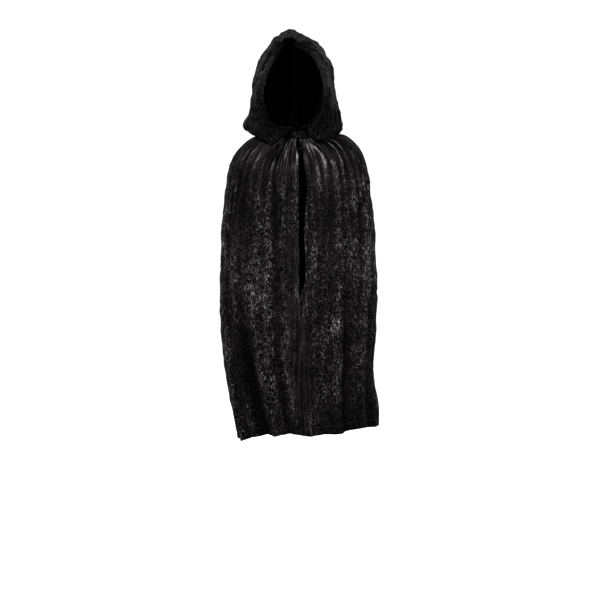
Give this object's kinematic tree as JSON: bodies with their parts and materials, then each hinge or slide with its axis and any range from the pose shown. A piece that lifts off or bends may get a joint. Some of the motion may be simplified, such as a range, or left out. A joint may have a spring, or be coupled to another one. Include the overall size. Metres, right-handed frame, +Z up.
{
  "type": "hooded costume cape",
  "caption": "Child's knee-length hooded cape in crushed velvet with a gathered neck, an open front and a hook-and-loop neck tab.",
  "frame": {"origin": "centre of the neck opening, at the height of the neck seam, where the wearer's neck holds the cape up", "axes": "+Z up, -Y out of the front opening, +X towards the wearer's left"},
  "size_m": [0.3852, 0.3077, 0.9905],
  "materials": {
    "velvet": "black crushed velvet with a mottled sheen",
    "velvet_back": "dull knitted back of the velvet",
    "tape": "woven black tape and cord",
    "hook_and_loop": "black hook-and-loop tape",
    "label": "blank white satin label"
  },
  "bodies": {
    "cape": {"back_panel": "velvet", "back_hem": "velvet_back", "front_left_upper": "velvet", "front_left_facing_upper": "velvet_back", "front_right_upper": "velvet", "front_right_facing_upper": "velvet_back", "neck_band": "velvet", "tab_anchor": "velvet", "loop_patch": "hook_and_loop"},
    "left_front": {"front_left_lower": "velvet", "front_left_facing": "velvet_back", "front_left_hem": "velvet_back"},
    "right_front": {"front_right_lower": "velvet", "front_right_facing": "velvet_back", "front_right_hem": "velvet_back"},
    "hood": {"hood_left": "velvet", "hood_right": "velvet", "hood_left_hem": "velvet_back", "hood_right_hem": "velvet_back", "hood_seam_tape": "tape"},
    "tab": {"neck_tab": "velvet", "hook_patch": "hook_and_loop"},
    "hanger": {"hanger_loop": "tape"},
    "label": {"care_label": "label"}
  },
  "joints": [
    {"name": "hood_fold", "type": "hinge", "parent": "cape", "child": "hood", "pos_m": [0, 0.104, -0.008], "axis": [-1, 0, 0], "range_deg": [0, 75]},
    {"name": "left_front_swing", "type": "hinge", "parent": "cape", "child": "left_front", "pos_m": [0.1945, 0, -0.2], "axis": [0, 0, 1], "range_deg": [0, 40]},
    {"name": "right_front_swing", "type": "hinge", "parent": "cape", "child": "right_front", "pos_m": [-0.1935, 0, -0.2], "axis": [0, 0, -1], "range_deg": [0, 40]},
    {"name": "tab_peel", "type": "hinge", "parent": "cape", "child": "tab", "pos_m": [0.0121, -0.0655, 0.002], "axis": [0, 0, 1], "range_deg": [0, 90]},
    {"name": "loop_swing", "type": "hinge", "parent": "cape", "child": "hanger", "pos_m": [0, 0.0549, 0.002], "axis": [-1, 0, 0], "range_deg": [0, 90]},
    {"name": "label_flip", "type": "hinge", "parent": "cape", "child": "label", "pos_m": [0.0405, 0.03855, 0.002], "axis": [-0.6896, 0.7242, 0], "range_deg": [0, 90]}
  ]
}
